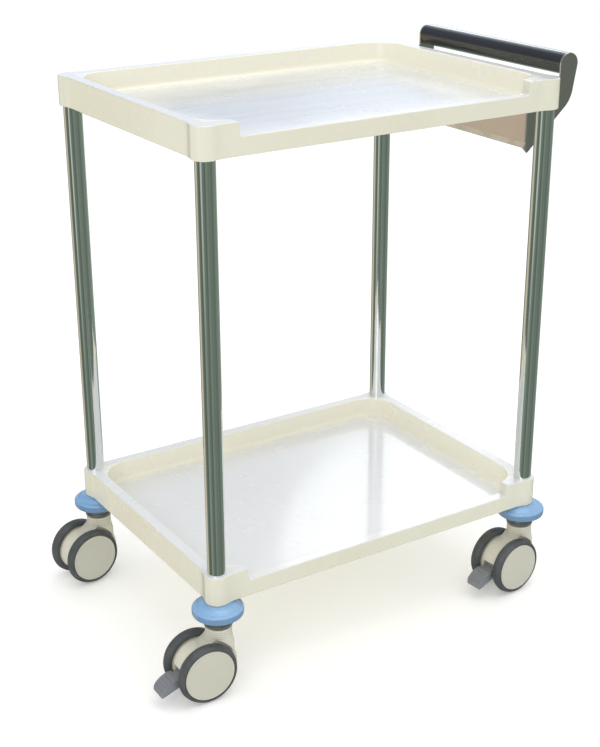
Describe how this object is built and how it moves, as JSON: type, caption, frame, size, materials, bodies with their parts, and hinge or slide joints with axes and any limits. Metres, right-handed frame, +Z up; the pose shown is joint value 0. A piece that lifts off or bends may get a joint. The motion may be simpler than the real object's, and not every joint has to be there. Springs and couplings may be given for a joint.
{
  "type": "rolling salon trolley",
  "caption": "Rolling salon trolley: moulded trays with a lowered front edge on steel tube legs, a push handle at one end, and twin-wheel swivel casters, the front ones braked.",
  "frame": {"origin": "middle of the whole trolley's bounding box, on the floor", "axes": "+Z up, +X towards the push handle, -Y the front, where the trays' walls are lowered"},
  "size_m": [0.8168, 0.5214, 0.9275],
  "materials": {
    "tray_plastic": "fine satin gloss moulding, off-white",
    "leg_steel": "polished stainless tube",
    "handle_steel": "polished stainless sheet",
    "grip_rubber": "smooth black sleeve",
    "bumper_plastic": "satin blue-grey soft moulding",
    "caster_plastic": "warm grey moulded plastic, finely ribbed",
    "cap_plastic": "warm grey cap, satin",
    "tyre_rubber": "grey rubber",
    "pedal_plastic": "grey moulded pedal",
    "bearing_steel": "pressed steel rings",
    "zinc_steel": "zinc plated"
  },
  "bodies": {
    "frame": {"upper_tray": "tray_plastic", "lower_tray": "tray_plastic", "leg_tube_fl": "leg_steel", "leg_tube_fr": "leg_steel", "leg_tube_rl": "leg_steel", "leg_tube_rr": "leg_steel", "leg_threaded_inserts": "zinc_steel", "handle_ear_front": "handle_steel", "handle_ear_rear": "handle_steel", "handle_grip": "grip_rubber", "handle_core_tube": "zinc_steel", "handle_panel": "handle_steel", "handle_screws": "zinc_steel", "caster_stems": "zinc_steel", "bumper_disc_fl": "bumper_plastic", "bumper_disc_fr": "bumper_plastic", "bumper_disc_rl": "bumper_plastic", "bumper_disc_rr": "bumper_plastic"},
    "fork_fl": {"caster_housing_fl": "caster_plastic", "swivel_bearing_fl": "bearing_steel", "axle_fl": "zinc_steel", "brake_pin_fl": "zinc_steel"},
    "wheel_fl_front": {"tyre_fl_front": "tyre_rubber", "hub_fl_front": "caster_plastic", "hub_cap_fl_front": "cap_plastic"},
    "wheel_fl_rear": {"tyre_fl_rear": "tyre_rubber", "hub_fl_rear": "caster_plastic", "hub_cap_fl_rear": "cap_plastic"},
    "pedal_fl": {"brake_pedal_fl": "pedal_plastic", "brake_bar_fl": "zinc_steel"},
    "fork_fr": {"caster_housing_fr": "caster_plastic", "swivel_bearing_fr": "bearing_steel", "axle_fr": "zinc_steel", "brake_pin_fr": "zinc_steel"},
    "wheel_fr_front": {"tyre_fr_front": "tyre_rubber", "hub_fr_front": "caster_plastic", "hub_cap_fr_front": "cap_plastic"},
    "wheel_fr_rear": {"tyre_fr_rear": "tyre_rubber", "hub_fr_rear": "caster_plastic", "hub_cap_fr_rear": "cap_plastic"},
    "pedal_fr": {"brake_pedal_fr": "pedal_plastic", "brake_bar_fr": "zinc_steel"},
    "fork_rl": {"caster_housing_rl": "caster_plastic", "swivel_bearing_rl": "bearing_steel", "axle_rl": "zinc_steel"},
    "wheel_rl_front": {"tyre_rl_front": "tyre_rubber", "hub_rl_front": "caster_plastic", "hub_cap_rl_front": "cap_plastic"},
    "wheel_rl_rear": {"tyre_rl_rear": "tyre_rubber", "hub_rl_rear": "caster_plastic", "hub_cap_rl_rear": "cap_plastic"},
    "fork_rr": {"caster_housing_rr": "caster_plastic", "swivel_bearing_rr": "bearing_steel", "axle_rr": "zinc_steel"},
    "wheel_rr_front": {"tyre_rr_front": "tyre_rubber", "hub_rr_front": "caster_plastic", "hub_cap_rr_front": "cap_plastic"},
    "wheel_rr_rear": {"tyre_rr_rear": "tyre_rubber", "hub_rr_rear": "caster_plastic", "hub_cap_rr_rear": "cap_plastic"}
  },
  "joints": [
    {"name": "swivel_fl", "type": "hinge", "parent": "frame", "child": "fork_fl", "pos_m": [-0.29816, -0.21765, 0.1], "axis": [0, 0, 1], "continuous": true},
    {"name": "roll_fl_front", "type": "hinge", "parent": "fork_fl", "child": "wheel_fl_front", "pos_m": [-0.33308, -0.24345, 0.05], "axis": [0.0349, 0.9994, 0], "continuous": true},
    {"name": "roll_fl_rear", "type": "hinge", "parent": "fork_fl", "child": "wheel_fl_rear", "pos_m": [-0.3312, -0.18948, 0.05], "axis": [0.0349, 0.9994, 0], "continuous": true},
    {"name": "brake_fl", "type": "hinge", "parent": "fork_fl", "child": "pedal_fl", "pos_m": [-0.36012, -0.21549, 0.046], "axis": [-0.0349, -0.9994, 0], "range_deg": [0, 12]},
    {"name": "swivel_fr", "type": "hinge", "parent": "frame", "child": "fork_fr", "pos_m": [0.31584, -0.21765, 0.1], "axis": [0, 0, 1], "continuous": true},
    {"name": "roll_fr_front", "type": "hinge", "parent": "fork_fr", "child": "wheel_fr_front", "pos_m": [0.28432, -0.24751, 0.05], "axis": [-0.0872, 0.9962, 0], "continuous": true},
    {"name": "roll_fr_rear", "type": "hinge", "parent": "fork_fr", "child": "wheel_fr_rear", "pos_m": [0.27962, -0.19372, 0.05], "axis": [-0.0872, 0.9962, 0], "continuous": true},
    {"name": "brake_fr", "type": "hinge", "parent": "fork_fr", "child": "pedal_fr", "pos_m": [0.25408, -0.22305, 0.046], "axis": [0.0872, -0.9962, 0], "range_deg": [0, 12]},
    {"name": "swivel_rl", "type": "hinge", "parent": "frame", "child": "fork_rl", "pos_m": [-0.29816, 0.21975, 0.1], "axis": [0, 0, 1], "continuous": true},
    {"name": "roll_rl_front", "type": "hinge", "parent": "fork_rl", "child": "wheel_rl_front", "pos_m": [-0.32862, 0.18881, 0.05], "axis": [-0.1219, 0.9925, 0], "continuous": true},
    {"name": "roll_rl_rear", "type": "hinge", "parent": "fork_rl", "child": "wheel_rl_rear", "pos_m": [-0.3352, 0.24241, 0.05], "axis": [-0.1219, 0.9925, 0], "continuous": true},
    {"name": "swivel_rr", "type": "hinge", "parent": "frame", "child": "fork_rr", "pos_m": [0.31584, 0.21975, 0.1], "axis": [0, 0, 1], "continuous": true},
    {"name": "roll_rr_front", "type": "hinge", "parent": "fork_rr", "child": "wheel_rr_front", "pos_m": [0.28381, 0.19044, 0.05], "axis": [-0.0698, 0.9976, 0], "continuous": true},
    {"name": "roll_rr_rear", "type": "hinge", "parent": "fork_rr", "child": "wheel_rr_rear", "pos_m": [0.28004, 0.24431, 0.05], "axis": [-0.0698, 0.9976, 0], "continuous": true}
  ]
}
